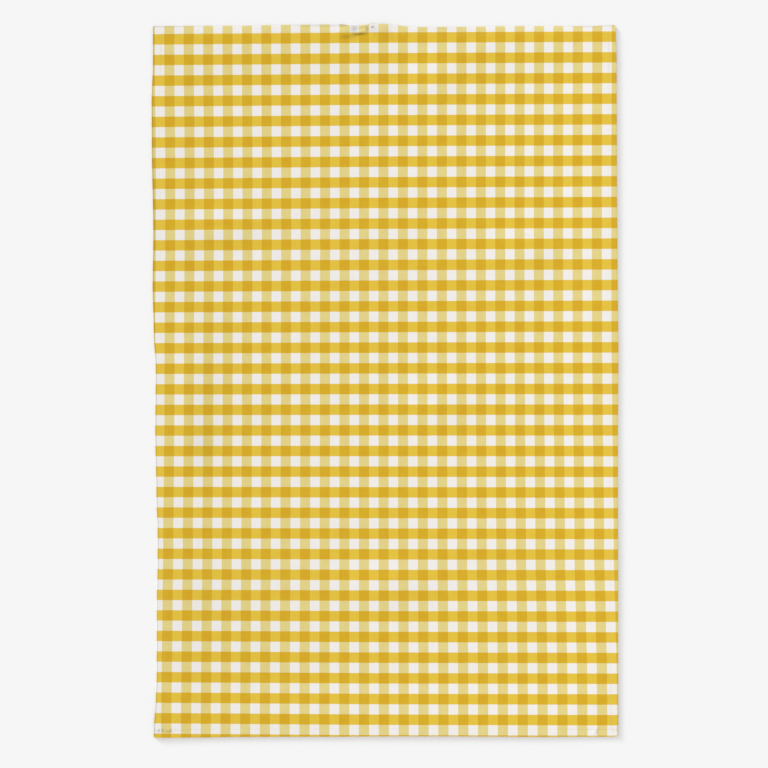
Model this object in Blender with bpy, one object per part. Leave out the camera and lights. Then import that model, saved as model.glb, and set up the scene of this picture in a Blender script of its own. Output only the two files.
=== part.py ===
"""A cotton tea towel that lies flat with its printed face up.

Metres, +Z up. X runs across the towel and +Y up its length. The origin is on
the surface that the towel lies on, in the middle of its outline. The towel is
one sheet of cloth, and its four hems are turned to the back, so the sheet is
thicker along its sides. Along the top, near the middle, the hem is puckered.
"""

from bisect import bisect_right
from math import cos, hypot, pi, radians
from typing import NamedTuple

import bmesh
import bpy

NODE = "tea_towel"

# The towel as it lies
WIDTH = 0.457
LENGTH = 0.701
PANEL_THICKNESS = 0.0012
HEM_THICKNESS = 0.0020
HEM_DEPTH = 0.0090

# How a hem is shaped: it rounds over at the fold, and steps down to the panel
FOLD_ROUND = 0.0016
FOLD_THICKNESS = 0.0012
HEM_STEP = 0.0016

# The grid that the sheet starts from
PITCH = 0.0120
PUCKER_CUTS = 3

# Colour of the cloth, averaged over its checks
CLOTH_COLOUR = (0.757, 0.601, 0.278)
CLOTH_ROUGHNESS = 0.9
SMOOTH_ANGLE = radians(30)


class EdgeStation(NamedTuple):
    """How far a side's edge lies out of straight at one place along it."""

    along: float
    shift: float


class Swell(NamedTuple):
    """A soft rise of the cloth off the surface, highest at its middle."""

    across: float
    along: float
    half_across: float
    half_along: float
    height: float


# From the bottom end to the top end; shift is towards +X
LEFT_EDGE = (
    EdgeStation(-0.3505, 0.0002),
    EdgeStation(-0.3400, 0.0012),
    EdgeStation(-0.3130, 0.0031),
    EdgeStation(-0.2900, 0.0039),
    EdgeStation(-0.2120, 0.0041),
    EdgeStation(-0.1850, 0.0047),
    EdgeStation(-0.1500, 0.0048),
    EdgeStation(-0.1100, 0.0036),
    EdgeStation(-0.0500, 0.0025),
    EdgeStation(0.0100, 0.0030),
    EdgeStation(0.0520, 0.0010),
    EdgeStation(0.0930, -0.0001),
    EdgeStation(0.1440, 0.0006),
    EdgeStation(0.2350, -0.0011),
    EdgeStation(0.2760, -0.0011),
    EdgeStation(0.3170, 0.0003),
    EdgeStation(0.3505, 0.0002),
)
RIGHT_EDGE = (
    EdgeStation(-0.3505, 0.0011),
    EdgeStation(-0.2300, 0.0008),
    EdgeStation(-0.1500, 0.0006),
    EdgeStation(-0.0700, 0.0004),
    EdgeStation(0.0500, 0.0010),
    EdgeStation(0.1600, 0.0001),
    EdgeStation(0.3150, -0.0005),
    EdgeStation(0.3380, -0.0013),
    EdgeStation(0.3505, -0.0014),
)
# From the left side to the right side; shift is towards +Y
TOP_EDGE = (
    EdgeStation(-0.2285, -0.0013),
    EdgeStation(-0.1400, -0.0011),
    EdgeStation(-0.0980, -0.0004),
    EdgeStation(-0.0500, -0.0001),
    EdgeStation(0.0100, -0.0012),
    EdgeStation(0.0350, -0.0027),
    EdgeStation(0.0900, -0.0024),
    EdgeStation(0.1350, -0.0016),
    EdgeStation(0.2080, -0.0015),
    EdgeStation(0.2160, -0.0005),
    EdgeStation(0.2285, -0.0001),
)
BOTTOM_EDGE = (
    EdgeStation(-0.2285, -0.0007),
    EdgeStation(-0.1850, -0.0005),
    EdgeStation(-0.1450, 0.0000),
    EdgeStation(-0.0450, 0.0000),
    EdgeStation(0.0300, -0.0003),
    EdgeStation(0.2285, -0.0005),
)

# Where the panel doesn't lie quite flat
SWELLS = (
    Swell(-0.190, -0.015, 0.030, 0.110, 0.0007),
    Swell(-0.160, 0.152, 0.060, 0.030, 0.0008),
    Swell(0.050, -0.020, 0.060, 0.034, 0.0007),
    Swell(0.005, -0.200, 0.070, 0.036, 0.0007),
    Swell(0.142, 0.135, 0.050, 0.040, 0.0006),
    Swell(0.046, 0.300, 0.036, 0.034, 0.0008),
)

# The pucker in the top hem: a bunch of cloth, a smaller one at its left, and a roll
TOP = LENGTH / 2
PUCKERS = (
    Swell(-0.0010, TOP - 0.0020, 0.0180, 0.0170, 0.0009),
    Swell(-0.0112, TOP - 0.0030, 0.0075, 0.0100, 0.0007),
    Swell(-0.0400, TOP - 0.0060, 0.0110, 0.0090, 0.0003),
)
# What the pucker does to the top edge in plan: out at the bunches, in beside them
EDGE_PULLS = (
    Swell(0.0010, TOP, 0.0175, 0.0160, 0.0014),
    Swell(-0.0115, TOP, 0.0080, 0.0110, 0.0008),
    Swell(-0.0310, TOP, 0.0120, 0.0120, -0.0014),
)
PUCKER_MIDDLE = -0.0120
PUCKER_HALF_WIDTH = 0.0420
PUCKER_DEPTH = 0.0260

# How far each corner is drawn in from square, and how much of it gives way
CORNER_CUTS = {(-1, -1): 0.0005, (1, -1): 0.0007, (1, 1): 0.0005, (-1, 1): 0.0004}
CORNER_REACH = 0.0090


def smooth_step(share):
    """0 at share 0 and 1 at share 1, level at both ends."""
    share = min(max(share, 0.0), 1.0)
    return share * share * (3.0 - 2.0 * share)


def edge_shift(stations, along):
    """The shift of an edge at a place along it, read smoothly between stations."""
    if along <= stations[0].along:
        return stations[0].shift
    if along >= stations[-1].along:
        return stations[-1].shift
    after = bisect_right([station.along for station in stations], along)
    low, high = stations[after - 1], stations[after]
    share = smooth_step((along - low.along) / (high.along - low.along))
    return low.shift + (high.shift - low.shift) * share


def swell_height(swell, x, y):
    """The height of one swell above a point of the flat cloth."""
    reach = hypot((x - swell.across) / swell.half_across, (y - swell.along) / swell.half_along)
    if reach >= 1.0:
        return 0.0
    return swell.height * cos(pi / 2 * reach) ** 2


def hem_share(inset):
    """1 over a hem, 0 on the panel, for a distance in from the cloth's edge."""
    return smooth_step((HEM_DEPTH + HEM_STEP / 2 - inset) / HEM_STEP)


def fold_share(inset):
    """0 at a hem's outer fold and 1 where the fold has rounded over."""
    return smooth_step(inset / FOLD_ROUND)


def thickness(x, y):
    """The sheet's thickness: the panel, and a rise over each hem."""
    side_inset = WIDTH / 2 - abs(x)
    end_inset = LENGTH / 2 - abs(y)
    rise = (HEM_THICKNESS - PANEL_THICKNESS) * (hem_share(side_inset) + hem_share(end_inset))
    rounding = fold_share(min(side_inset, end_inset))
    return FOLD_THICKNESS + (PANEL_THICKNESS + rise - FOLD_THICKNESS) * rounding


def underside(x, y):
    """How high the cloth's underside is off the surface; 0 where it touches."""
    return max(0.0, sum(swell_height(swell, x, y) for swell in SWELLS + PUCKERS))


def plan(x, y):
    """Where a point of the straight, flat cloth lies in plan."""
    across = x / WIDTH + 0.5
    along = y / LENGTH + 0.5
    side = (1 - across) * edge_shift(LEFT_EDGE, y) + across * edge_shift(RIGHT_EDGE, y)
    end = (1 - along) * edge_shift(BOTTOM_EDGE, x) + along * edge_shift(TOP_EDGE, x)
    pull = sum(swell_height(swell, x, y) for swell in EDGE_PULLS)
    return x + side, y + end + pull


def grid_lines(extent):
    """Grid lines over an extent: a hem's own lines at both ends, even ones between."""
    half = extent / 2
    hem_lines = (0.0, FOLD_ROUND, HEM_DEPTH - HEM_STEP / 2, HEM_DEPTH + HEM_STEP / 2)
    inner = half - hem_lines[-1]
    count = round(2 * inner / PITCH)
    low = [-half + line for line in hem_lines]
    between = [-inner + 2 * inner * step / count for step in range(1, count)]
    return low + between + [-place for place in reversed(low)]


def flat_grid():
    """A flat grid over the whole cloth, along the lines that grid_lines gives."""
    columns = grid_lines(WIDTH)
    rows = grid_lines(LENGTH)
    sheet = bmesh.new()
    bmesh.ops.create_grid(
        sheet,
        x_segments=len(columns) - 1,
        y_segments=len(rows) - 1,
        size=0.5,
    )
    for vert in sheet.verts:
        column = round((vert.co.x + 0.5) * (len(columns) - 1))
        row = round((vert.co.y + 0.5) * (len(rows) - 1))
        vert.co = (columns[column], rows[row], 0.0)
    return sheet


def refine_pucker(sheet):
    """Cuts the cells around the pucker into smaller ones, and their neighbours to fit."""
    around = set()
    for face in sheet.faces:
        place = face.calc_center_median()
        if abs(place.x - PUCKER_MIDDLE) < PUCKER_HALF_WIDTH and place.y > TOP - PUCKER_DEPTH:
            around.update(face.edges)
    long_edges = [edge for edge in around if edge.calc_length() > 2 * HEM_STEP]
    bmesh.ops.subdivide_edges(sheet, edges=long_edges, cuts=PUCKER_CUTS, use_grid_fill=True)
    neighbours = [face for face in sheet.faces if len(face.verts) > 4]
    bmesh.ops.triangulate(sheet, faces=neighbours)


def corner_pull(x, y):
    """How far a point is drawn in, towards the towel's middle, by its corner."""
    toward_x = -1 if x > 0 else 1
    toward_y = -1 if y > 0 else 1
    reach = hypot(WIDTH / 2 - abs(x), LENGTH / 2 - abs(y)) / CORNER_REACH
    if reach >= 1.0:
        return 0.0, 0.0
    pull = CORNER_CUTS[(-toward_x, -toward_y)] * (1.0 - reach) ** 2
    return toward_x * pull, toward_y * pull


def lay(vert, on_top):
    """Moves a point of the flat grid to where the towel's surface is."""
    x, y = vert.co.x, vert.co.y
    height = underside(x, y) + (thickness(x, y) if on_top else 0.0)
    place_x, place_y = plan(x, y)
    pull_x, pull_y = corner_pull(x, y)
    vert.co = (place_x + pull_x, place_y + pull_y, height)


def centre_outline(sheet):
    """Moves the towel so that the middle of its outline is at the origin."""
    xs = [vert.co.x for vert in sheet.verts]
    ys = [vert.co.y for vert in sheet.verts]
    middle = ((min(xs) + max(xs)) / 2, (min(ys) + max(ys)) / 2, 0.0)
    bmesh.ops.translate(sheet, verts=sheet.verts, vec=[-value for value in middle])


def towel_mesh():
    """The towel's closed mesh: a flat grid, thickened upwards and laid in place."""
    sheet = flat_grid()
    refine_pucker(sheet)
    flat = list(sheet.faces)
    raised = bmesh.ops.extrude_face_region(sheet, geom=flat)
    top = {item for item in raised["geom"] if isinstance(item, bmesh.types.BMVert)}
    for vert in sheet.verts:
        lay(vert, vert in top)
    centre_outline(sheet)
    bmesh.ops.recalc_face_normals(sheet, faces=sheet.faces)
    mesh = bpy.data.meshes.new(NODE)
    sheet.to_mesh(mesh)
    sheet.free()
    mesh.shade_smooth()
    mesh.set_sharp_from_angle(angle=SMOOTH_ANGLE)
    return mesh


def cloth_material():
    """Matt cotton in the colour that its checks average to."""
    material = bpy.data.materials.new("gingham_cotton")
    material.use_nodes = True
    shader = material.node_tree.nodes["Principled BSDF"]
    shader.inputs["Base Color"].default_value = (*CLOTH_COLOUR, 1.0)
    shader.inputs["Roughness"].default_value = CLOTH_ROUGHNESS
    shader.inputs["Metallic"].default_value = 0.0
    return material


def main():
    for leftover in list(bpy.data.objects):
        bpy.data.objects.remove(leftover)
    towel = bpy.data.objects.new(NODE, towel_mesh())
    towel.data.materials.append(cloth_material())
    bpy.context.scene.collection.objects.link(towel)


main()
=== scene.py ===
"""A printed gingham tea towel, laid face up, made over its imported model.

Metres, +Z up. X runs across the towel and +Y up its length. The origin is on the
surface that the towel lies on, in the middle of its outline. The towel is one
sheet of thin cotton. Its side hems are turned twice to the back first, and then
its end hems over them, and one line of stitching holds all four.
"""

import logging
import random
from bisect import bisect_right
from dataclasses import dataclass, field
from enum import Enum
from math import atan, cos, exp, hypot, pi, radians, sin, tan
from typing import NamedTuple, Sequence

import bmesh
import bpy
from mathutils import Matrix, Vector, noise


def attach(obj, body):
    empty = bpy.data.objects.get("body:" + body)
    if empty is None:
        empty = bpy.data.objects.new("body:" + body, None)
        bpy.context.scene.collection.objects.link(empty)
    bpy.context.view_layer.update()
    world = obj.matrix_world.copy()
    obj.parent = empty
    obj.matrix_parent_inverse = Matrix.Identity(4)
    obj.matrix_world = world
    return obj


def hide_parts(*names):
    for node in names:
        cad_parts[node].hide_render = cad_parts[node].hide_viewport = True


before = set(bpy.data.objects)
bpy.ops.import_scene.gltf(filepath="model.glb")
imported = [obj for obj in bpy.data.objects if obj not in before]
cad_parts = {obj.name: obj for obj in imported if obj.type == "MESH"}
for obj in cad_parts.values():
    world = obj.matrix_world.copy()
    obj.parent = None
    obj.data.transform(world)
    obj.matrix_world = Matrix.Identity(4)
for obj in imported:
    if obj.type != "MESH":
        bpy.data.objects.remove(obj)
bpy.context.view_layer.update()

BODY = "root"
TOWEL_NODE = "tea_towel"

PRINT_MAP = "print"
# The vertex attribute that carries the painted light and shade
PAINTED_LIGHT_AND_SHADE = "tone"
PRESSED = "pressed"

# So many half widths beside a crease, nothing of it is left
CREASE_FADE = 3.0

# The photograph: its side in pixels, the size of a pixel, and the pixel at the origin
PHOTO_PIXELS = 768
PIXEL = 0.0009843
ORIGIN_COLUMN = 384.45
ORIGIN_ROW = 380.4

Socket = bpy.types.NodeSocket
Scale = tuple[float, float, float]
Colour = tuple[float, float, float, float]

log = logging.getLogger("tea_towel")


class Layer(Enum):
    """The parts of the cloth between the middle of the towel and its cut edge."""

    PANEL = "panel"
    FACE = "face over a hem"
    OUTER_FOLD = "outer fold"
    BACK = "back of a hem"
    INNER_FOLD = "inner fold"
    TURNING = "turning inside a hem"


class Direction(Enum):
    """The two ways across the cloth."""

    ACROSS = "across"
    ALONG = "along"


class Station(NamedTuple):
    """How far an edge or the print is shifted at one place along a line."""

    along: float
    shift: float


class Spot(NamedTuple):
    """A soft-edged place where the cloth is raised, pulled, lightened or darkened.

    Its amount is a height or a shift in metres, or a change of tone.
    """

    across: float
    along: float
    half_across: float
    half_along: float
    amount: float

    def at(self, x: float, y: float) -> float:
        """The amount at a place: full in the middle, and 0 at the rim and beyond."""
        reach = hypot((x - self.across) / self.half_across, (y - self.along) / self.half_along)
        return self.amount * cos(pi / 2 * reach) ** 2 if reach < 1.0 else 0.0


class Crease(NamedTuple):
    """A soft line in the cloth: a ridge, or a trough where its height is below 0. Its tone is
    painted shade along the line.
    """

    across: float
    along: float
    turn_deg: float
    half_length: float
    half_width: float
    height: float
    tone: float = 0.0

    def reach(self, x: float, y: float) -> float:
        """How much of the crease there is at a place.

        Args:
            x: The place across.
            y: The place along.

        Returns:
            1 in the middle of the crease, and 0 at its ends and well beside it.
        """
        turn = radians(self.turn_deg)
        east, north = x - self.across, y - self.along
        run = (east * cos(turn) + north * sin(turn)) / self.half_length
        aside = (north * cos(turn) - east * sin(turn)) / self.half_width
        if abs(run) >= 1.0 or abs(aside) > CREASE_FADE:
            return 0.0
        return exp(-(aside**2)) * cos(pi / 2 * run) ** 2

    def at(self, x: float, y: float) -> float:
        """The crease's height at a place."""
        return self.height * self.reach(x, y)


class DriftLine(NamedTuple):
    """One line up the towel on which the print's drift was measured."""

    across: float
    stations: tuple[Station, ...]


class PrintDrift(NamedTuple):
    """The print's drift in one direction, on two lines; it is 0 up the middle one."""

    left: DriftLine
    right: DriftLine
    middle: float = -0.0210

    def at(self, x: float, y: float) -> float:
        """How far the print lies out of square at a place."""
        side = self.left if x < self.middle else self.right
        return shift_at(side.stations, y) * ((x - self.middle) / (side.across - self.middle))


class FoldLightAndShade(NamedTuple):
    """Painted light or shade on a side's fold, on the face beside it and outside."""

    face: float
    outside: float


def smooth_step(share: float) -> float:
    """0 at share 0 and 1 at share 1, level at both ends."""
    share = min(max(share, 0.0), 1.0)
    return share * share * (3.0 - 2.0 * share)


def shifts(*rows: tuple[float, float]) -> tuple[Station, ...]:
    """Lists stations, each from its place and its shift."""
    return tuple(Station(*row) for row in rows)


def total(parts: Sequence[Spot | Crease], x: float, y: float) -> float:
    """What some spots or creases amount to at a place, added up."""
    return sum(part.at(x, y) for part in parts)


def shift_at(stations: Sequence[Station], at: float) -> float:
    """Reads a shift smoothly between stations.

    Args:
        stations: The stations, in the order of their places.
        at: The place to read it at.

    Returns:
        The shift there, and an end station's shift beyond the ends.
    """
    if at <= stations[0].along:
        return stations[0].shift
    if at >= stations[-1].along:
        return stations[-1].shift
    after = bisect_right(stations, at, key=lambda station: station.along)
    low, high = stations[after - 1], stations[after]
    share = (at - low.along) / (high.along - low.along)
    return low.shift + (high.shift - low.shift) * smooth_step(share)


# How far each edge lies out of straight. From the bottom to the top; shift is towards +X
LEFT_EDGE = shifts(
    (-0.3505, 0.0006), (-0.3400, 0.0012), (-0.3130, 0.0031), (-0.2900, 0.0039),
    (-0.2120, 0.0041), (-0.1850, 0.0047), (-0.1500, 0.0048), (-0.1100, 0.0036),
    (-0.0500, 0.0025), (0.0100, 0.0030), (0.0520, 0.0010), (0.0930, -0.0001),
    (0.1440, 0.0006), (0.2350, -0.0009), (0.2760, -0.0011), (0.3170, 0.0003),
    (0.3505, 0.0002),
)
RIGHT_EDGE = shifts(
    (-0.3505, 0.0011), (-0.2100, 0.0010), (-0.1300, 0.0008), (-0.0600, 0.0007),
    (0.0300, 0.0013), (0.1150, 0.0004), (0.1900, -0.0002), (0.3150, -0.0005),
    (0.3380, -0.0013), (0.3505, -0.0014),
)
# From the left side to the right side; shift is towards +Y
TOP_EDGE = shifts(
    (-0.2285, -0.0013), (-0.1400, -0.0011), (-0.0980, -0.0002), (-0.0400, 0.0002),
    (-0.0160, -0.0003), (0.0100, -0.0010), (0.0350, -0.0024), (0.0900, -0.0021),
    (0.1350, -0.0014), (0.2080, -0.0015), (0.2160, -0.0005), (0.2285, -0.0001),
)
BOTTOM_EDGE = shifts(
    (-0.2285, -0.0010), (-0.2050, -0.0008), (-0.1850, -0.0006), (-0.1450, 0.0000),
    (-0.0930, 0.0002), (-0.0500, 0.0003), (-0.0140, 0.0006), (0.0640, 0.0007),
    (0.1040, 0.0004), (0.1430, 0.0000), (0.1830, 0.0001), (0.2285, 0.0001),
)

# Where the panel doesn't lie quite flat
SWELLS = (
    Spot(-0.190, -0.015, 0.030, 0.110, 0.0007),
    Spot(-0.160, 0.152, 0.060, 0.030, 0.0008),
    Spot(0.050, -0.020, 0.060, 0.034, 0.0007),
    Spot(0.005, -0.200, 0.070, 0.036, 0.0007),
    Spot(0.142, 0.135, 0.050, 0.040, 0.0006),
    Spot(0.046, 0.300, 0.036, 0.034, 0.0008),
)

# The straight towel's top edge
TOP = 0.3505

# The pucker in the top hem: a bunch of cloth, a smaller one at its left, and a roll
PUCKERS = (
    Spot(-0.0010, TOP - 0.0020, 0.0180, 0.0170, 0.0009),
    Spot(-0.0112, TOP - 0.0030, 0.0075, 0.0100, 0.0007),
    Spot(-0.0400, TOP - 0.0060, 0.0110, 0.0090, 0.0003),
)
# What the pucker does to the top edge in plan: out at the bunches, in beside them
EDGE_PULLS = (
    Spot(0.0010, TOP, 0.0175, 0.0160, 0.0014),
    Spot(-0.0115, TOP, 0.0080, 0.0110, 0.0008),
    Spot(-0.0310, TOP, 0.0120, 0.0120, -0.0014),
)
# Where the right and bottom hems lie a little off the surface
HEM_LIFTS = (
    Spot(0.2285, 0.2150, 0.0300, 0.1400, 0.00015),
    Spot(0.2285, -0.1500, 0.0300, 0.2200, 0.00014),
    Spot(0.0500, -0.3505, 0.1500, 0.0300, 0.00012),
)

# The part of the top that the pucker takes up
PUCKER_LEFT = -0.0480
PUCKER_RIGHT = 0.0180
PUCKER_DEPTH = 0.0200

# Creases in the panel and the bottom hem, and in the top hem's pucker; the last number of one is
# painted shade along it
CREASES = (
    Crease(-0.162, 0.1526, 1.0, 0.036, 0.0028, -0.00016),
    Crease(0.030, -0.0194, -1.0, 0.034, 0.0030, -0.00016),
    Crease(0.005, -0.1944, 0.5, 0.046, 0.0022, 0.00010),
    Crease(0.140, 0.1412, 2.0, 0.013, 0.0022, -0.00016),
    Crease(-0.196, 0.0426, 0.0, 0.006, 0.0020, -0.00012),
    Crease(0.2078, -0.3442, 73.0, 0.0060, 0.0010, 0.00035, -0.15),
)
# The pucker's creases, three of them with painted shade along them
PUCKER_CREASES = (
    Crease(-0.0246, 0.3412, 6.0, 0.0115, 0.0011, -0.0003, -0.56),
    Crease(-0.0238, 0.3434, 6.0, 0.0120, 0.0012, 0.0003),
    Crease(-0.0213, 0.3480, 10.0, 0.0065, 0.0009, 0.0, -0.14),
    Crease(-0.0180, 0.3456, 85.0, 0.0060, 0.0010, -0.0003, -0.22),
)

# How far the printed stripes lie out of square, towards +X and towards +Y
ACROSS_DRIFT = PrintDrift(
    left=DriftLine(
        -0.2130,
        shifts(
            (-0.3240, -0.0025), (-0.2830, -0.0021), (-0.2420, -0.0015), (-0.1610, -0.0007),
            (-0.0800, 0.0000), (-0.0390, 0.0004), (0.0420, 0.0006), (0.1240, 0.0012),
            (0.2040, 0.0013), (0.3270, 0.0003),
        ),
    ),
    right=DriftLine(
        0.2090,
        shifts(
            (-0.3240, 0.0039), (-0.2830, 0.0037), (-0.2420, 0.0029), (-0.1610, 0.0012),
            (-0.0800, 0.0003), (-0.0390, -0.0003), (0.0420, -0.0010), (0.1240, -0.0012),
            (0.2040, -0.0012), (0.3270, -0.0008),
        ),
    ),
)
ALONG_DRIFT = PrintDrift(
    left=DriftLine(
        -0.2230,
        shifts(
            (-0.3340, 0.0015), (-0.2730, 0.0011), (-0.1510, 0.0005), (-0.0290, -0.0003),
            (0.0930, -0.0009), (0.2150, -0.0015), (0.3370, -0.0017),
        ),
    ),
    right=DriftLine(
        0.2250,
        shifts(
            (-0.3340, -0.0005), (-0.2730, -0.0004), (-0.1510, -0.0003), (-0.0290, 0.0000),
            (0.0930, 0.0006), (0.2150, 0.0010), (0.3370, 0.0010),
        ),
    ),
)
# Where the print lies a little to one side as well
PRINT_SHIFTS = (
    Spot(-0.1080, 0.0000, 0.1000, 3.0000, -0.00036),
    Spot(0.1000, 0.1600, 0.1000, 0.4200, 0.00040),
    Spot(0.2050, -0.2000, 0.0700, 0.1000, -0.00035),
)

# Painted light: how much lighter the right side is painted than the left
SIDE_PAINTED_LIGHT = 0.045
# Painted light and shade: where the cloth is painted a little lighter or darker
PAINTED_LIGHT_AND_SHADE_PATCHES = (
    Spot(-0.177, -0.064, 0.024, 0.022, -0.045),
    Spot(-0.156, 0.054, 0.016, 0.016, -0.025),
    Spot(-0.121, -0.030, 0.018, 0.016, -0.030),
    Spot(-0.170, 0.000, 0.060, 0.150, -0.020),
    Spot(-0.150, -0.240, 0.080, 0.120, -0.012),
    Spot(0.046, 0.302, 0.042, 0.034, 0.030),
    Spot(0.170, 0.270, 0.080, 0.090, 0.014),
    Spot(0.180, 0.190, 0.030, 0.020, 0.014),
    Spot(0.2047, -0.3449, 0.0025, 0.0030, 0.06),
    Spot(-0.1500, -0.3510, 0.1100, 0.0018, -0.06),
    Spot(-0.0640, 0.3495, 0.0480, 0.0014, -0.20),
    Spot(0.0600, 0.3472, 0.0300, 0.0014, -0.10),
    Spot(-0.2100, 0.3500, 0.0300, 0.0022, 0.08),
    Spot(0.2150, 0.3500, 0.0180, 0.0022, 0.06),
    Spot(-0.2275, 0.1800, 0.0045, 0.1400, -0.07),
    Spot(-0.2240, -0.2200, 0.0025, 0.1700, 0.07),
    Spot(0.0000, 0.3470, 0.4000, 0.0100, 0.02),
    Spot(0.1700, 0.3440, 0.0800, 0.0110, 0.035),
    Spot(-0.1600, 0.3450, 0.0700, 0.0100, 0.02),
    Spot(-0.2240, -0.3478, 0.0060, 0.0032, -0.09),
    Spot(-0.2130, -0.3452, 0.0050, 0.0018, -0.05),
    # Painted shade in and beside the pucker, with two painted highlights
    Spot(-0.0300, 0.3466, 0.0066, 0.0080, -0.33),
    Spot(-0.0392, 0.3385, 0.0080, 0.0034, -0.21),
    Spot(-0.0168, 0.3470, 0.0030, 0.0064, -0.26),
    Spot(-0.0112, 0.3480, 0.0070, 0.0052, -0.07),
    Spot(-0.0143, 0.3499, 0.0024, 0.0034, -0.14),
    Spot(-0.0139, 0.3453, 0.0042, 0.0048, -0.13),
    Spot(-0.0318, 0.3392, 0.0085, 0.0054, -0.14),
    Spot(-0.0121, 0.3483, 0.0024, 0.0019, -0.66),
    Spot(-0.0118, 0.3512, 0.0050, 0.0014, -0.12),
    Spot(-0.0418, 0.3499, 0.0070, 0.0018, -0.24),
    Spot(-0.0070, 0.3470, 0.0040, 0.0040, 0.03),
    Spot(0.0100, 0.3460, 0.0080, 0.0080, 0.05),
    Spot(0.0382, 0.3471, 0.0070, 0.0014, -0.10),
)
# Painted shade on the left and top folds, and painted light on the right and bottom ones
FOLD_LIGHT_AND_SHADE = {
    (Direction.ACROSS, -1): FoldLightAndShade(-0.40, -0.28),
    (Direction.ACROSS, 1): FoldLightAndShade(0.06, 0.33),
    (Direction.ALONG, -1): FoldLightAndShade(0.05, 0.33),
    (Direction.ALONG, 1): FoldLightAndShade(-0.02, -0.50),
}


class GridLine(NamedTuple):
    """One line of the cloth's grid, and where it is between panel and cut edge.

    Side is -1, 0 or 1. Share runs from 0 to 1 over its layer, and place is where
    a line of the panel lies.
    """

    layer: Layer
    side: int
    share: float
    place: float = 0.0


class Turned(NamedTuple):
    """Where a line lies once its hem is turned: its place, its run of cloth, its height.

    The run is the distance along the cloth from the middle of the towel.
    """

    place: float
    run: float
    height: float


class Laid(NamedTuple):
    """Where a point of the cloth lies, how pressed it is, and where it is on the cloth."""

    point: Vector
    pressed: float
    across: float
    along: float


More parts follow.
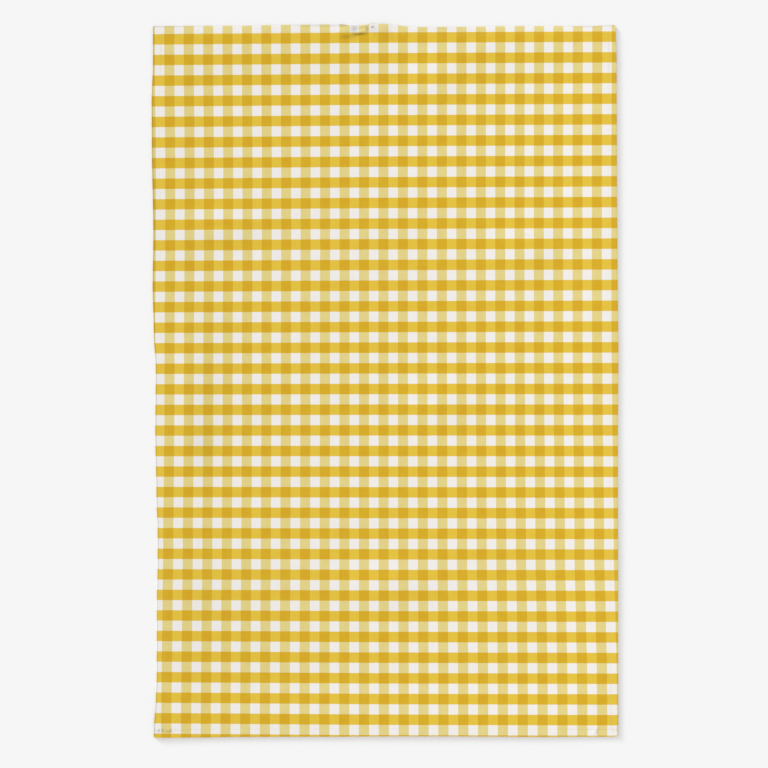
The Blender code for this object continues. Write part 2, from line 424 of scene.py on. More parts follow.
@dataclass
class HemmedCloth:
    """The towel's cloth: its finished size, its hems and how it lies.

    The mesh is the middle of the cloth's thickness, and Solidify gives it its two
    faces. A pitch is the thickness of one layer with the air under it. Relax is how
    far from a hem the panel comes to rest, and settle how far from it the panel's
    waves are full. A stretch under the least share of a cell gets no line of its own.
    """

    width: float = 0.457
    length: float = 0.701
    thickness: float = 0.00042
    pitch: float = 0.00045
    hem_depth: float = 0.0090
    raw_clearance: float = 0.0003
    relax: float = 0.0550
    settle: float = 0.0320
    seam_inset: float = 0.0075
    seam_half_width: float = 0.0006
    seam_press: float = 0.04
    cell: float = 0.0055
    fine_cell: float = 0.0011
    crease_cell: float = 0.0014
    short_crease: float = 0.0090
    beside_crease: float = 2.2
    least_share: float = 0.25
    face_insets: tuple[float, ...] = (
        0.0090, 0.0081, 0.0075, 0.0069, 0.0056, 0.0042, 0.0029, 0.0017
    )
    outer_steps: int = 6
    inner_steps: int = 3
    turning_steps: int = 3
    corner_cuts: dict[tuple[int, int], float] = field(
        default_factory=lambda: {(-1, -1): 0.0005, (1, -1): 0.0007, (1, 1): 0.0005, (-1, 1): 0.0001}
    )
    corner_reach: float = 0.0090
    corner_heights: dict[tuple[int, int], float] = field(
        default_factory=lambda: {(-1, -1): 1.30, (1, -1): 1.00, (1, 1): 1.05, (-1, 1): 1.10}
    )
    wave_height: float = 0.00022
    wave_length: float = 0.045
    ripple_height: float = 0.00005
    ripple_length: float = 0.016

    def extent(self, direction: Direction) -> float:
        """The finished size in one direction."""
        return self.width if direction is Direction.ACROSS else self.length

    def outer_fold(self, half: float, slab: float) -> float:
        """Where the outer fold's centre is, for a slab of one or more layers."""
        return half - 1.5 * slab

    def cut_size(self, direction: Direction) -> float:
        """The size that the cloth was cut to in one direction."""
        cut_edge, half = GridLine(Layer.TURNING, 1, 1.0), self.extent(direction) / 2
        return 2 * self.folded(cut_edge, half, self.pitch, self.pitch / 2).run

    def hem_lines(self) -> list[GridLine]:
        """Lists a hem's grid lines on the + side.

        Returns:
            The lines, from the hem's inner edge out to the cloth's cut edge.
        """
        face_width = self.hem_depth - 1.5 * self.pitch
        shares = [(self.hem_depth - inset) / face_width for inset in self.face_insets]
        steps = {
            Layer.FACE: shares,
            Layer.OUTER_FOLD: [step / self.outer_steps for step in range(self.outer_steps + 1)],
            Layer.BACK: [1.0 - share for share in reversed(shares)],
            Layer.INNER_FOLD: [step / self.inner_steps for step in range(1, self.inner_steps + 1)],
            Layer.TURNING: [step / self.turning_steps for step in range(1, self.turning_steps + 1)],
        }
        return [GridLine(layer, 1, share) for layer, shares in steps.items() for share in shares]

    def panel_places(self, direction: Direction) -> list[float]:
        """Spaces the panel's grid lines: closely where the cloth is creased.

        Args:
            direction: The direction that the lines are placed in.

        Returns:
            Their places, in rising order.
        """
        inner = self.extent(direction) / 2 - self.hem_depth
        fine: list[tuple[float, float, float]] = []
        for crease in CREASES:
            turn = radians(crease.turn_deg)
            if direction is Direction.ACROSS:
                at, along, beside = crease.across, abs(cos(turn)), abs(sin(turn))
            else:
                at, along, beside = crease.along, abs(sin(turn)), abs(cos(turn))
            reach = crease.half_length * along + self.beside_crease * crease.half_width * beside
            if reach < self.short_crease:
                fine.append((max(-inner, at - reach), min(inner, at + reach), self.crease_cell))
        if direction is Direction.ACROSS:
            fine.append((PUCKER_LEFT, PUCKER_RIGHT, self.fine_cell))
        else:
            fine.append((TOP - PUCKER_DEPTH, inner, self.fine_cell))
        fine.sort()
        places, at = [], -inner
        for low, high, cell in [*fine, (inner, inner, self.cell)]:
            low = max(low, at)
            for start, end, size in ((at, low, self.cell), (low, high, cell)):
                cells = (end - start) / size
                count = max(1, round(cells)) if cells > self.least_share else 0
                places += [start + (end - start) * step / count for step in range(count)]
            at = max(at, high)
        return [place for place in places if abs(place) < inner - self.crease_cell / 2]

    def lines(self, direction: Direction) -> list[GridLine]:
        """Lists all grid lines in one direction.

        Args:
            direction: The direction.

        Returns:
            The lines, from cut edge to cut edge.
        """
        plus = self.hem_lines()
        minus = [line._replace(side=-1) for line in reversed(plus)]
        panel = [GridLine(Layer.PANEL, 0, 0.0, place) for place in self.panel_places(direction)]
        return minus + panel + plus

    def rise(self, inset: float) -> float:
        """1 over a hem, and less on the panel beside it, until it rests on the surface."""
        return 1.0 - smooth_step((inset - self.hem_depth) / self.relax)

    def seam(self, inset: float, end_inset: float) -> float:
        """How firmly a side's stitching presses.

        Args:
            inset: The distance in from the side's edge.
            end_inset: The distance in from the nearer end of the side.

        Returns:
            1 on the stitching and 0 away from it.
        """
        beside = 1.0 - abs(inset - self.seam_inset) / self.seam_half_width
        within = (end_inset - self.seam_inset + 2 * self.seam_half_width) / self.seam_half_width
        return max(0.0, min(1.0, beside)) * max(0.0, min(1.0, within))

    def folded(self, line: GridLine, half: float, slab: float, level: float) -> Turned:
        """Where a line lies once its hem has been turned.

        Args:
            line: The line.
            half: Half of the finished size in this direction.
            slab: The thickness that is folded, one layer or more.
            level: The height within the slab before it is folded.

        Returns:
            The place and the run, both signed, and the height.
        """
        outer, inner = self.outer_fold(half, slab), half - self.hem_depth + slab
        turn = pi * line.share
        if line.layer is Layer.PANEL:
            rise = self.rise(half - abs(line.place))
            return Turned(line.place, line.place, level + 2 * slab * rise)
        start = half - self.hem_depth
        round_it = slab / 2 + level
        turned_back = outer + pi * round_it
        if line.layer is Layer.FACE:
            place = start + (outer - start) * line.share
            run, height = place, 2 * slab + level
        elif line.layer is Layer.OUTER_FOLD:
            place, height = outer + round_it * sin(turn), 1.5 * slab + round_it * cos(turn)
            run = outer + round_it * turn
        elif line.layer is Layer.BACK:
            place, height = outer + (inner - outer) * line.share, slab - level
            run = turned_back + outer - place
        elif line.layer is Layer.INNER_FOLD:
            place, height = inner - level * sin(turn), slab - level * cos(turn)
            run = turned_back + outer - inner + level * turn
        else:
            raw = outer - self.raw_clearance
            place, height = inner + (raw - inner) * line.share, slab + level
            run = turned_back + outer - inner + pi * level + place - inner
        return Turned(line.side * place, line.side * run, height)

    def lift(self, x: float, y: float) -> float:
        """How high all of the cloth is off the surface; 0 where it touches."""
        rise = total(SWELLS + PUCKERS + HEM_LIFTS, x, y)
        return max(0.0, rise + total(PUCKER_CREASES, *self.plan(x, y)))

    def face_relief(self, x: float, y: float) -> float:
        """The small waves and the creases of the towel's face.

        Args:
            x: The place across the straight towel.
            y: The place along it.

        Returns:
            Their height. The waves end where the hems hold the panel.
        """
        inset = min(self.width / 2 - abs(x), self.length / 2 - abs(y))
        free = smooth_step((inset - self.hem_depth) / self.settle)
        wave = noise.noise(Vector((x, y, 0.31)) / self.wave_length)
        ripple = noise.noise(Vector((x, y, 0.77)) / self.ripple_length)
        waves = self.wave_height * (0.5 + 0.5 * wave) + self.ripple_height * (0.5 + 0.5 * ripple)
        return free * waves + total(CREASES, *self.plan(x, y))

    def plan(self, x: float, y: float) -> tuple[float, float]:
        """Where a point of the straight, flat towel lies in plan.

        Args:
            x: The place across the straight towel.
            y: The place along it.

        Returns:
            The place across and along, as it lies.
        """
        across = x / self.width + 0.5
        along = y / self.length + 0.5
        left, right = shift_at(LEFT_EDGE, y), shift_at(RIGHT_EDGE, y)
        bottom, top = shift_at(BOTTOM_EDGE, x), shift_at(TOP_EDGE, x)
        pull = total(EDGE_PULLS, x, y)
        corner_x, corner_y = self.corner_pull(x, y)
        place_x = x + (1 - across) * left + across * right + corner_x
        place_y = y + (1 - along) * bottom + along * top + pull + corner_y
        return place_x, place_y

    def corner_pull(self, x: float, y: float) -> tuple[float, float]:
        """How far a point is drawn in, towards the towel's middle, by its corner.

        Args:
            x: The place across the straight towel.
            y: The place along it.

        Returns:
            The shift across and along.
        """
        side_x, side_y = (1 if x > 0 else -1), (1 if y > 0 else -1)
        aside = hypot(self.width / 2 - abs(x), self.length / 2 - abs(y)) / self.corner_reach
        if aside >= 1.0:
            return 0.0, 0.0
        pull = self.corner_cuts[(side_x, side_y)] * (1.0 - aside) ** 2
        return -side_x * pull, -side_y * pull

    def corner_pressed(self, x: float, y: float) -> float:
        """How far the layers are pressed together towards a corner, where 1 is not at all.

        Nine layers meet in a corner, and they are pressed until it stands as high as
        its side's three layers do, times its own height.

        Args:
            x: The place across the straight towel.
            y: The place along it.

        Returns:
            The share of its height that the cloth keeps.
        """
        height = self.corner_heights[((1 if x > 0 else -1), (1 if y > 0 else -1))]
        across, along = self.rise(self.width / 2 - abs(x)), self.rise(self.length / 2 - abs(y))
        free = (1 + 2 * across) * (1 + 2 * along)
        kept = 1 + 2 * across + 2 * along + (3 * height - 5) * across * along
        return kept / free

    def place(self, column: GridLine, row: GridLine) -> Laid:
        """Where a point of the cloth lies.

        Args:
            column: The point's line across the towel.
            row: The point's line along it.

        Returns:
            The point, how pressed the cloth is there, and where it is on the cloth.
        """
        half_x, half_y = self.width / 2, self.length / 2
        x, run_x, level = self.folded(column, half_x, self.pitch, self.pitch / 2)
        rise_x = self.rise(half_x - abs(x))
        slab = self.pitch * (1 + 2 * rise_x)
        y = self.folded(row, half_y, slab, level).place
        press_x = self.seam_press * self.seam(half_x - abs(x), half_y - abs(y))
        level = 1.5 * self.pitch + (level - 1.5 * self.pitch) * (1 - press_x)
        y, run_y, height = self.folded(row, half_y, slab, level)
        press_y = self.seam_press * self.seam(half_y - abs(y), half_x - abs(x))
        height = 1.5 * slab + (height - 1.5 * slab) * (1 - press_y)
        pressed = self.corner_pressed(x, y)
        height = height * pressed + self.lift(x, y)
        if column.layer in (Layer.PANEL, Layer.FACE) and row.layer in (Layer.PANEL, Layer.FACE):
            height += max(self.face_relief(x, y), -0.5 * self.pitch)
        point = Vector((*self.plan(x, y), height))
        return Laid(point, pressed * (1 - max(press_x, press_y)), run_x, run_y)

    def face_line(self, direction: Direction, at: float) -> GridLine:
        """Finds the line of the panel or of a hem's face at a place of the straight towel.

        Args:
            direction: The direction that the line is placed in.
            at: The place.

        Returns:
            The line.
        """
        half = self.extent(direction) / 2
        outer = self.outer_fold(half, self.pitch)
        start = half - self.hem_depth
        if abs(at) <= start:
            return GridLine(Layer.PANEL, 0, 0.0, at)
        share = min(1.0, (abs(at) - start) / (outer - start))
        return GridLine(Layer.FACE, 1 if at > 0 else -1, share)

    def on_face(self, x: float, y: float) -> Vector:
        """The middle of the face's cloth over a place of the straight towel."""
        column, row = self.face_line(Direction.ACROSS, x), self.face_line(Direction.ALONG, y)
        return self.place(column, row).point


@dataclass
class PaintedLightAndShade:
    """Painted light and shade on the cloth, from place to place."""

    painted_edge_width: float = 0.0011
    turned_down: float = 0.33
    folded_back: float = 0.5

    def at(self, cloth: HemmedCloth, column: GridLine, row: GridLine, point: Vector) -> float:
        """The painted light and shade on the cloth, where 1 is its usual tone.

        Args:
            cloth: The cloth.
            column: The line that the point is on, across the towel.
            row: The line that it is on, along the towel.
            point: Where it lies.

        Returns:
            The painted light and shade there.
        """
        x, y = point.xy
        tone = 1.0 + SIDE_PAINTED_LIGHT * (smooth_step(0.5 + x / cloth.width) - 0.5)
        tone += total(PAINTED_LIGHT_AND_SHADE_PATCHES, x, y)
        tone += sum(crease.tone * crease.reach(x, y) for crease in CREASES + PUCKER_CREASES)
        edges = (
            self.at_fold(cloth, Direction.ACROSS, column),
            self.at_fold(cloth, Direction.ALONG, row),
        )
        return tone + min(0.0, *edges) + max(0.0, *edges)

    def at_fold(self, cloth: HemmedCloth, direction: Direction, line: GridLine) -> float:
        """How much painted light or shade a line gets by a side's fold.

        Args:
            cloth: The cloth.
            direction: The direction that the line is placed in.
            line: The line.

        Returns:
            The change in tone, which is 0 on the panel and behind the hem.
        """
        fold = FOLD_LIGHT_AND_SHADE[(direction, line.side or 1)]
        if line.layer is Layer.FACE:
            face_width = cloth.hem_depth - 1.5 * cloth.pitch
            beside = smooth_step(1.0 - (1.0 - line.share) * face_width / self.painted_edge_width)
            return fold.face * beside
        if line.layer is Layer.OUTER_FOLD:
            outside = smooth_step(line.share / self.turned_down)
            behind = smooth_step((line.share - self.folded_back) / (1.0 - self.folded_back))
            return (fold.face + (fold.outside - fold.face) * outside) * (1.0 - behind)
        return 0.0


class NodeBench:
    """Adds shader nodes to one material and joins them up."""

    def __init__(self, name: str) -> None:
        """Starts a material with one Principled shader.

        Args:
            name: The material's name.
        """
        self.material = bpy.data.materials.new(name)
        self.material.use_nodes = True
        self.tree = self.material.node_tree
        self.shader = self.tree.nodes["Principled BSDF"]

    def feed(self, node: bpy.types.Node, sources: dict[int | str, object]) -> None:
        """Joins sockets to a node's inputs, or sets the inputs to values.

        Args:
            node: The node.
            sources: What its inputs take, by the input's name or number.
        """
        for key, source in sources.items():
            if isinstance(source, Socket):
                self.tree.links.new(source, node.inputs[key])
            else:
                node.inputs[key].default_value = source

    def run(
        self, kind: str, sources: dict[int | str, object], output: int | str = 0, **settings: str
    ) -> Socket:
        """Adds a node and feeds it.

        Args:
            kind: The kind of node.
            sources: What its inputs take, by the input's name or number.
            output: The output that is wanted, by its name or number.
            **settings: The node's settings.

        Returns:
            That output.
        """
        node = self.tree.nodes.new(kind)
        for key, value in settings.items():
            setattr(node, key, value)
        self.feed(node, sources)
        return node.outputs[output]

    def math(self, operation: str, *terms: object) -> Socket:
        """Does one sum, such as MULTIPLY, on sockets or numbers."""
        return self.run("ShaderNodeMath", dict(enumerate(terms)), operation=operation)

    def blend(self, mode: str, share: object, first: object, second: object) -> Socket:
        """Blends two colours by a share, in a mode such as MIX or MULTIPLY."""
        sources = {0: share, 6: first, 7: second}
        return self.run("ShaderNodeMix", sources, 2, data_type="RGBA", blend_type=mode)

    def speckle(self, place: Socket, scale: Scale, detail: float) -> Socket:
        """Makes noise around 0.5, at a scale for each direction."""
        stretched = self.run("ShaderNodeVectorMath", {0: place, 1: scale}, operation="MULTIPLY")
        return self.run("ShaderNodeTexNoise", {"Vector": stretched, "Scale": 1.0, "Detail": detail})

    def bump(self, height: Socket, distance: float, strength: float = 1.0) -> Socket:
        """The normal of a relief, whose height is a share of a distance in metres."""
        sources = {"Height": height, "Distance": distance, "Strength": strength}
        return self.run("ShaderNodeBump", sources)

    def finish(self, sources: dict[int | str, object]) -> bpy.types.Material:
        """Feeds the shader and hands over the material."""
        self.feed(self.shader, sources)
        return self.material


class Stripe(NamedTuple):
    """One set of printed stripes: the first one's middle, their pitch and their ink."""

    first: float
    pitch: float
    width: float
    ink: Colour


@dataclass(frozen=True)
class GinghamFinish:
    """Plain-weave cotton, printed with pale stripes up it and strong ones across it."""

    name: str = "gingham_print"
    white: Colour = (0.750, 0.724, 0.699, 1.0)
    upward: Stripe = Stripe(-0.21253, 0.019194, 0.00984, (0.876, 0.762, 0.300, 1.0))
    crossing: Stripe = Stripe(0.33774, 0.020336, 0.01031, (0.885, 0.630, 0.055, 1.0))
    strength: float = 1.0
    ink_spread: float = 0.05
    ink_scale: Scale = (80.0, 80.0, 1.0)
    edge_softness: float = 0.00030
    edge_wander: float = 0.00030
    wander_scale: Scale = (900.0, 900.0, 1.0)
    thread_pitch: float = 0.00062
    thread_relief: float = 0.00007
    thread_share: float = 0.5
    relief_strength: float = 0.5
    warp_scale: Scale = (1600.0, 45.0, 1.0)
    weft_scale: Scale = (45.0, 1600.0, 1.0)
    slub_tone: float = 0.080
    mottle_scale: Scale = (55.0, 55.0, 1.0)
    mottle_tone: float = 0.045
    weave_tone: float = 0.045
    roughness: float = 0.88
    roughness_spread: float = 0.08
    sheen: float = 0.05
    sheen_roughness: float = 0.55
    specular: float = 0.20

    def coverage(self, bench: NodeBench, at: Socket, stripe: Stripe) -> Socket:
        """How much ink a set of stripes lays at a place across them.

        Args:
            bench: The material's bench.
            at: The place across the stripes, in metres.
            stripe: The set of stripes.

        Returns:
            0 between the stripes and 1 on them.
        """
        turns = bench.math("MULTIPLY_ADD", at, 1 / stripe.pitch, 0.5 - stripe.first / stripe.pitch)
        share = bench.math("FRACT", turns)
        aside = bench.math("ABSOLUTE", bench.math("SUBTRACT", share, 0.5))
        half = stripe.width / stripe.pitch / 2
        soft = self.edge_softness / stripe.pitch
        sources = {0: aside, 1: half - soft, 2: half + soft, 3: 1.0, 4: 0.0}
        return bench.run("ShaderNodeMapRange", sources, interpolation_type="SMOOTHSTEP")

    def ink_ends(self, stripe: Stripe) -> list[Colour]:
        """Varies a stripe's ink.

        Args:
            stripe: The set of stripes.

        Returns:
            Its ink where it is deepest, and where it is palest.
        """
        red, green, blue, alpha = stripe.ink
        return [
            (red, green * (1 + spread), blue * (1 + 2 * spread), alpha)
            for spread in (-self.ink_spread, self.ink_spread)
        ]

    def weave(self, bench: NodeBench, across: Socket, along: Socket) -> Socket:
        """Weaves the threads over and under each other.

        Args:
            bench: The material's bench.
            across: The place across the print, in metres.
            along: The place along it.

        Returns:
            The height of the weave, from 0 to 1.
        """
        waves = [
            bench.math("SINE", bench.math("MULTIPLY", at, pi / self.thread_pitch))
            for at in (across, along)
        ]
        return bench.math("MULTIPLY_ADD", bench.math("MULTIPLY", *waves), 0.5, 0.5)

    def printed(self, bench: NodeBench, place: Socket, across: Socket, along: Socket) -> Socket:
        """Prints the stripes on the white cloth.

        Args:
            bench: The material's bench.
            place: The place on the print, in metres.
            across: The part of it across the print.
            along: The part of it along the print.

        Returns:
            The colour there.
        """
        wander = bench.math("SUBTRACT", bench.speckle(place, self.wander_scale, detail=1.0), 0.5)
        shift = bench.math("MULTIPLY", wander, 2 * self.edge_wander)
        depth = bench.speckle(place, self.ink_scale, detail=1.0)
        colour: object = self.white
        for at, stripe in ((across, self.upward), (along, self.crossing)):
            laid = self.coverage(bench, bench.math("ADD", at, shift), stripe)
            share = bench.math("MULTIPLY", laid, self.strength)
            ink = bench.blend("MIX", depth, *self.ink_ends(stripe))
            colour = bench.blend("MULTIPLY", share, colour, ink)
        return colour

    def make(self) -> bpy.types.Material:
        """Makes the cloth's material.

        Returns:
            The material.
        """
        bench = NodeBench(self.name)
        place = bench.run("ShaderNodeUVMap", {}, uv_map=PRINT_MAP)
        across, along = (bench.run("ShaderNodeSeparateXYZ", {0: place}, part) for part in "XY")
        weave = self.weave(bench, across, along)
        warp = bench.speckle(place, self.warp_scale, detail=2.0)
        weft = bench.speckle(place, self.weft_scale, detail=2.0)
        mottle = bench.speckle(place, self.mottle_scale, detail=3.0)
        # The painted light and shade, times the tone of the weave, slubs and mottle
        tone = bench.run("ShaderNodeAttribute", {}, "Fac", attribute_name=PAINTED_LIGHT_AND_SHADE)
        for source, amount in (
            (weave, self.weave_tone),
            (warp, self.slub_tone),
            (weft, self.slub_tone),
            (mottle, self.mottle_tone),
        ):
            change = bench.math("MULTIPLY_ADD", source, amount, 1 - amount / 2)
            tone = bench.math("MULTIPLY", tone, change)
        toned = {0: self.printed(bench, place, across, along), "Scale": tone}
        smoothest = self.roughness - self.roughness_spread / 2
        threads = bench.math("ADD", warp, weft)
        relief = bench.math("MULTIPLY_ADD", threads, self.thread_share, weave)
        return bench.finish(
            {
                "Base Color": bench.run("ShaderNodeVectorMath", toned, operation="SCALE"),
                "Roughness": bench.math("MULTIPLY_ADD", mottle, self.roughness_spread, smoothest),
                "Normal": bench.bump(relief, self.thread_relief, self.relief_strength),
                "Specular IOR Level": self.specular,
                "Sheen Weight": self.sheen,
                "Sheen Roughness": self.sheen_roughness,
            }
        )


@dataclass(frozen=True)
class ThreadFinish:
    """Twisted cotton sewing thread."""

    name: str = "sewing_thread"
    pale: Colour = (0.72, 0.60, 0.30, 1.0)
    deep: Colour = (0.66, 0.52, 0.22, 1.0)
    twist_scale: Scale = (2600.0, 2600.0, 2600.0)
    relief: float = 0.00004
    roughness: float = 0.7
    sheen: float = 0.2

    def make(self) -> bpy.types.Material:
        """Makes the thread's material.

        Returns:
            The material.
        """
        bench = NodeBench(self.name)
        place = bench.run("ShaderNodeTexCoord", {}, "Object")
        twist = bench.speckle(place, self.twist_scale, detail=1.0)
        return bench.finish(
            {
                "Base Color": bench.blend("MIX", twist, self.deep, self.pale),
                "Normal": bench.bump(twist, self.relief),
                "Roughness": self.roughness,
                "Sheen Weight": self.sheen,
            }
        )


@dataclass(frozen=True)
class FloorFinish:
    """A matt, pale surface."""

    name: str = "pale_floor"
    tone: float = 0.80

    def make(self) -> bpy.types.Material:
        """Makes the floor's material.

        Returns:
            The material.
        """
        colour = (self.tone, self.tone, self.tone, 1.0)
        sources = {"Base Color": colour, "Roughness": 1.0, "Specular IOR Level": 0.0}
        return NodeBench(self.name).finish(sources)


def make_piece(
    name: str, grid: bmesh.types.BMesh, materials: Sequence[bpy.types.Material]
) -> bpy.types.Object:
    """Turns a finished bmesh into an object.

    Args:
        name: The object's name.
        grid: The bmesh, which is freed.
        materials: Its materials, in order.

    Returns:
        The object.
    """
    mesh = bpy.data.meshes.new(name)
    grid.to_mesh(mesh)
    grid.free()
    mesh.shade_smooth()
    for material in materials:
        mesh.materials.append(material)
    piece = bpy.data.objects.new(name, mesh)
    bpy.context.scene.collection.objects.link(piece)
    return piece


@dataclass
class TeaTowel:
    """The towel's one sheet of cloth."""

    name: str = "towel_cloth"
    cloth: HemmedCloth = field(default_factory=HemmedCloth)
    tone: PaintedLightAndShade = field(default_factory=PaintedLightAndShade)
    face: GinghamFinish = GinghamFinish()
    back: GinghamFinish = GinghamFinish(name="gingham_back", strength=0.62)
    middle: Vector = field(default_factory=Vector)

    def build(self) -> bpy.types.Object:
        """Makes the cloth: a flat grid, turned over at its hems, laid and printed.

        Returns:
            The cloth's object.
        """
        columns = self.cloth.lines(Direction.ACROSS)
        rows = self.cloth.lines(Direction.ALONG)
        grid = bmesh.new()
        bmesh.ops.create_grid(
            grid, x_segments=len(columns) - 1, y_segments=len(rows) - 1, size=0.5
        )
        tone = grid.verts.layers.float.new(PAINTED_LIGHT_AND_SHADE)
        group = grid.verts.layers.deform.verify()
        prints = grid.loops.layers.uv.new(PRINT_MAP)
        laid = {}
        for vert in grid.verts:
            column = columns[round((vert.co.x + 0.5) * (len(columns) - 1))]
            row = rows[round((vert.co.y + 0.5) * (len(rows) - 1))]
            place = self.cloth.place(column, row)
            laid[vert] = (column, row, place)
            vert.co = place.point
            vert[group][0] = place.pressed
        self.centre(grid)
        printed = {}
        for vert, (column, row, place) in laid.items():
            # Painted light and shade, kept on each vertex
            vert[tone] = self.tone.at(self.cloth, column, row, vert.co)
            printed[vert] = self.printed_at(place)
        for face in grid.faces:
            for loop in face.loops:
                loop[prints].uv = printed[loop.vert]
        return self.finish(grid)

    def centre(self, grid: bmesh.types.BMesh) -> None:
        """Moves the cloth so that the middle of its outline is at the origin.

        Args:
            grid: The cloth's mesh, as laid.
        """
        xs = [vert.co.x for vert in grid.verts]
        ys = [vert.co.y for vert in grid.verts]
        self.middle = Vector(((min(xs) + max(xs)) / 2, (min(ys) + max(ys)) / 2, 0.0))
        bmesh.ops.translate(grid, verts=grid.verts, vec=-self.middle)

    def printed_at(self, place: Laid) -> tuple[float, float]:
        """Where a point of the cloth is on the print.

        Args:
            place: The point.

        Returns:
            The place across and along the print, in metres.
        """
        half_x, half_y = self.cloth.width / 2, self.cloth.length / 2
        x = max(-half_x, min(half_x, place.across))
        y = max(-half_y, min(half_y, place.along))
        plan_x, plan_y = self.cloth.plan(x, y)
        plan_x, plan_y = plan_x - self.middle.x, plan_y - self.middle.y
        drift_x = ACROSS_DRIFT.at(plan_x, plan_y) + total(PRINT_SHIFTS, plan_x, plan_y)
        drift_y = ALONG_DRIFT.at(plan_x, plan_y)
        return plan_x - drift_x + place.across - x, plan_y - drift_y + place.along - y

    def finish(self, grid: bmesh.types.BMesh) -> bpy.types.Object:
        """Gives the cloth its thickness and its finishes.

        Args:
            grid: The cloth's mesh, which is freed.

        Returns:
            The cloth's object.
        """
        towel = make_piece(self.name, grid, [self.face.make(), self.back.make()])
        towel.vertex_groups.new(name=PRESSED)
        shell = towel.modifiers.new("cloth_thickness", "SOLIDIFY")
        shell.thickness = self.cloth.thickness
        shell.offset = 0.0
        shell.vertex_group = PRESSED
        shell.use_rim = True
        shell.material_offset = 1
        shell.material_offset_rim = 0
        return towel

    def top_at(self, x: float, y: float) -> Vector:
        """The top of the cloth's face over a place of the straight towel."""
        return self.cloth.on_face(x, y) - self.middle + Vector((0, 0, self.cloth.thickness / 2))


class Tack(NamedTuple):
    """One stitch that fastens an end of the seam, and the way it runs."""

    across: float
    along: float
    turn_deg: float
    length: float
    thickness: float


@dataclass
class HemStitching:
    """The stitches that hold the hems, one line round the towel, and its fastened ends, some in a
    dark thread whose colour is painted shade.
    """

    towel: TeaTowel
    name: str = "hem_stitches"
    pitch: float = 0.0030
    stitch: float = 0.0024
    thickness: float = 0.00014
    sunk: float = 0.00005
    sway: float = 0.00012
    turn: float = 3.0
    length_spread: tuple[float, float] = (0.92, 1.05)
    seed: int = 7
    # Dark tacks: their thread's dark colour is painted shade, the shadows of stitches and needle
    # holes
    tacks: tuple[Tack, ...] = (
        Tack(-0.2275, -0.3427, 90.0, 0.0018, 0.00030),
        Tack(-0.2239, -0.3431, 66.0, 0.0034, 0.00060),
        Tack(-0.2200, -0.3433, 88.0, 0.0036, 0.00040),
        Tack(-0.2122, -0.3425, 58.0, 0.0028, 0.00036),
        Tack(-0.2140, -0.3445, 2.0, 0.0070, 0.00024),
    )
    pale_tacks: tuple[Tack, ...] = (
        Tack(0.2230, -0.3434, 86.0, 0.0036, 0.00022),
        Tack(0.2262, -0.3432, 92.0, 0.0036, 0.00024),
    )
    finish: ThreadFinish = ThreadFinish()
    # The dark tacks' thread, its colour painted shade
    shaded_tack_finish: ThreadFinish = ThreadFinish(
        name="tack_thread_painted_shade", pale=(0.34, 0.30, 0.20, 1.0), deep=(0.24, 0.20, 0.12, 1.0)
    )

    def build(self) -> bpy.types.Object:
        """Makes all stitches as one piece.

        Returns:
            The stitches' object.
        """
        draw = random.Random(self.seed)
        threads = bmesh.new()
        cloth = self.towel.cloth
        x, y = cloth.width / 2 - cloth.seam_inset, cloth.length / 2 - cloth.seam_inset
        corners = [Vector(corner) for corner in ((-x, -y), (x, -y), (x, y), (-x, y))]
        for start, end in zip(corners, corners[1:] + corners[:1]):
            count = max(1, round((end - start).length / self.pitch))
            along = (end - start).normalized()
            aside = Vector((-along.y, along.x))
            for step in range(count):
                middle = start.lerp(end, (step + 0.5) / count)
                middle += aside * draw.uniform(-self.sway, self.sway)
                turn = Matrix.Rotation(radians(draw.uniform(-self.turn, self.turn)), 2)
                length = self.stitch * draw.uniform(*self.length_spread)
                self.add_stitch(threads, middle, turn @ along * length, self.thickness)
        self.add_tacks(threads, self.pale_tacks)
        sewn = set(threads.faces)
        self.add_tacks(threads, self.tacks)
        # The dark tacks take the thread of painted shade
        for face in threads.faces:
            face.material_index = 0 if face in sewn else 1
        return make_piece(self.name, threads, [self.finish.make(), self.shaded_tack_finish.make()])

    def add_tacks(self, threads: bmesh.types.BMesh, tacks: Sequence[Tack]) -> None:
        """Adds the stitches that fasten an end of the seam.

        Args:
            threads: The mesh that they join.
            tacks: The stitches.
        """
        for tack in tacks:
            turn = radians(tack.turn_deg)
            way = Vector((cos(turn), sin(turn))) * tack.length
            self.add_stitch(threads, Vector((tack.across, tack.along)), way, tack.thickness)

    def add_stitch(
        self, threads: bmesh.types.BMesh, middle: Vector, way: Vector, thickness: float
    ) -> None:
        """Adds one stitch, a short pulled-in length of thread.

        Args:
            threads: The mesh that the stitch joins.
            middle: The middle of the stitch on the straight towel.
            way: The stitch from end to end, on the straight towel.
            thickness: How thick the thread is.
        """
        low = self.towel.top_at(*(middle - way / 2))
        high = self.towel.top_at(*(middle + way / 2))
        along = (high - low).normalized()
        up = Vector((0, 0, 1))
        side = up.cross(along).normalized()
        turn = Matrix((along, side, along.cross(side))).transposed().to_4x4()
        size = Matrix.Diagonal((way.length / 2, thickness / 2, thickness / 2, 1.0))
        centre = (low + high) / 2 + up * (thickness / 4 - self.sunk)
        bmesh.ops.create_uvsphere(
            threads,
            u_segments=6,
            v_segments=5,
            radius=1.0,
            matrix=Matrix.Translation(centre) @ turn @ size @ Matrix.Rotation(pi / 2, 4, "Y"),
        )


@dataclass
class Floor:
    """The pale surface that the towel lies on."""

    name: str = "floor"
    half_size: float = 60.0
    finish: FloorFinish = FloorFinish()

    def build(self) -> bpy.types.Object:
        """Makes the floor, level with the towel's underside.

        Returns:
            The floor's object.
        """
        grid = bmesh.new()
        bmesh.ops.create_grid(grid, x_segments=1, y_segments=1, size=self.half_size)
        return make_piece(self.name, grid, [self.finish.make()])


class LowLight(NamedTuple):
    """A wide, low light: how high it stands, how wide it is and how much it gives."""

    name: str
    elevation_deg: float
    spread_deg: float
    share: float


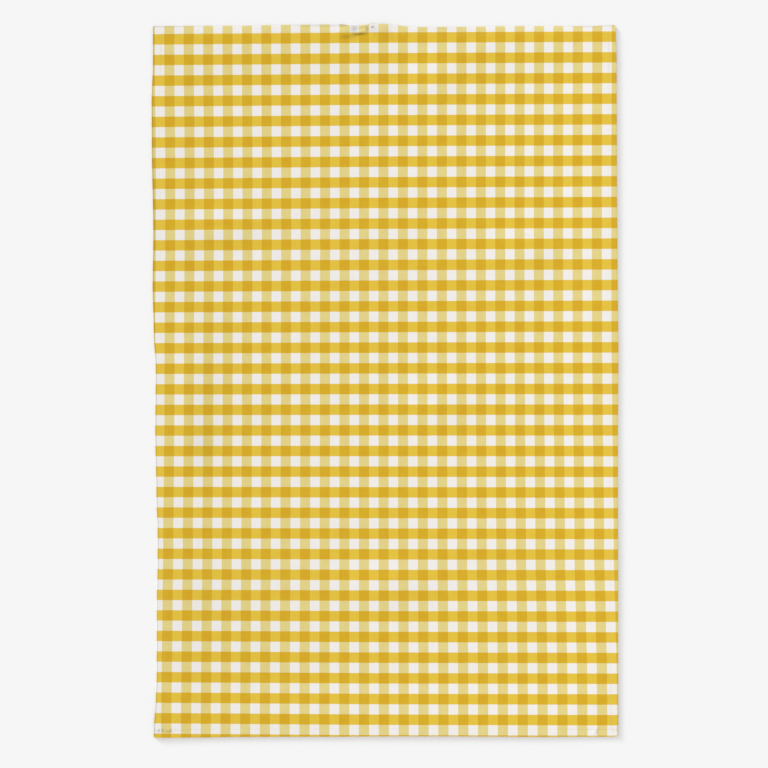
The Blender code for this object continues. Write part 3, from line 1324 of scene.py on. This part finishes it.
@dataclass
class Studio:
    """Soft light from all round, and a little more of it from low at the upper left."""

    surround: float = 0.9215
    azimuth_deg: float = 135.0
    low_lights: tuple[LowLight, ...] = (
        LowLight("low_light_near", 8.3, 6.5, 0.138),
        LowLight("low_light_far", 14.5, 10.0, 0.092),
    )

    def build(self) -> None:
        """Makes the surround and the low lights."""
        world = bpy.data.worlds.new("studio")
        world.use_nodes = True
        background = world.node_tree.nodes["Background"]
        background.inputs["Color"].default_value = (self.surround,) * 3 + (1.0,)
        background.inputs["Strength"].default_value = 1.0
        bpy.context.scene.world = world
        for light in self.low_lights:
            self.add_light(light)

    def add_light(self, light: LowLight) -> None:
        """Adds one low light.

        Args:
            light: The light. Its share is how bright it alone makes a white, level surface.
        """
        lamp = bpy.data.lights.new(light.name, "SUN")
        height = radians(light.elevation_deg)
        lamp.energy = light.share * pi / sin(height)
        lamp.angle = radians(light.spread_deg)
        holder = bpy.data.objects.new(light.name, lamp)
        turn = radians(self.azimuth_deg)
        toward = Vector((cos(turn) * cos(height), sin(turn) * cos(height), sin(height)))
        holder.rotation_euler = toward.to_track_quat("Z", "Y").to_euler()
        bpy.context.scene.collection.objects.link(holder)


@dataclass
class OverheadCamera:
    """A long lens straight above the towel, with the photograph's framing."""

    lens: float = 200.0
    sensor: float = 36.0
    clip_end: float = 100.0

    def build(self) -> None:
        """Makes the camera and gives it to the scene."""
        middle = (PHOTO_PIXELS - 1) / 2
        x = (middle - ORIGIN_COLUMN) * PIXEL
        y = (ORIGIN_ROW - middle) * PIXEL
        data = bpy.data.cameras.new("overhead")
        data.lens = self.lens
        data.sensor_width = self.sensor
        data.clip_end = self.clip_end
        half_angle = atan(self.sensor / 2 / self.lens)
        camera = bpy.data.objects.new("overhead", data)
        camera.location = (x, y, PHOTO_PIXELS * PIXEL / 2 / tan(half_angle))
        bpy.context.scene.collection.objects.link(camera)
        bpy.context.scene.camera = camera


def report_piece(piece: bpy.types.Object) -> None:
    """Logs a finished piece and how many faces it has."""
    log.info("%s: %d faces", piece.name, len(piece.data.polygons))


def main() -> None:
    """Builds the towel, its stitching, the floor, the light and the camera."""
    logging.basicConfig(level=logging.INFO, format="%(message)s")
    bpy.context.scene.view_settings.view_transform = "Standard"
    OverheadCamera().build()
    Studio().build()
    floor = Floor().build()

    towel = TeaTowel()
    cloth = towel.build()
    report_piece(cloth)
    stitching = HemStitching(towel).build()
    report_piece(stitching)

    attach(cloth, BODY)
    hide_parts(TOWEL_NODE)
    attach(stitching, BODY)
    cut = (towel.cloth.cut_size(Direction.ACROSS), towel.cloth.cut_size(Direction.ALONG))
    log.info("cut size: %.4f by %.4f m", *cut)


if __name__ == "__main__":
    main()
